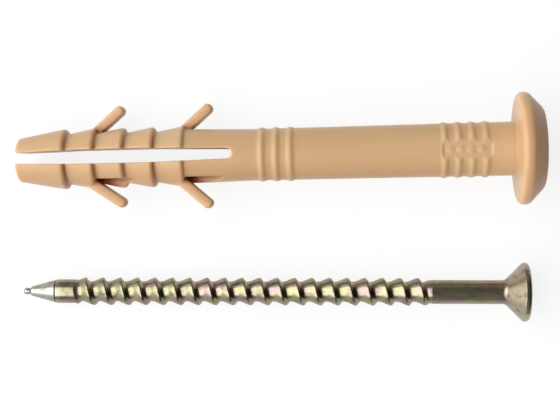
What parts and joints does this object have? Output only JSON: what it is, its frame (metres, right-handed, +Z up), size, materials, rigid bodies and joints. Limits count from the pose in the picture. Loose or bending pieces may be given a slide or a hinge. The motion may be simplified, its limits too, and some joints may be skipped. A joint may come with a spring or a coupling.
{
  "type": "hammer fixing plug",
  "caption": "Hammer fixing: a nylon plug with a barbed split tip, folding wings and a wide bevelled head, and its coarse threaded countersunk nail.",
  "frame": {"origin": "on the table under the middle of the pair's bounding box", "axes": "+X along the pieces from tips to heads, +Y from the nail to the plug, +Z up"},
  "size_m": [0.0804, 0.035, 0.017],
  "materials": {
    "nylon": "satin moulded",
    "yellow_zinc": "yellow chromate over zinc"
  },
  "bodies": {
    "root": {"plug_sleeve": "nylon", "nail_screw": "yellow_zinc"}
  },
  "joints": []
}
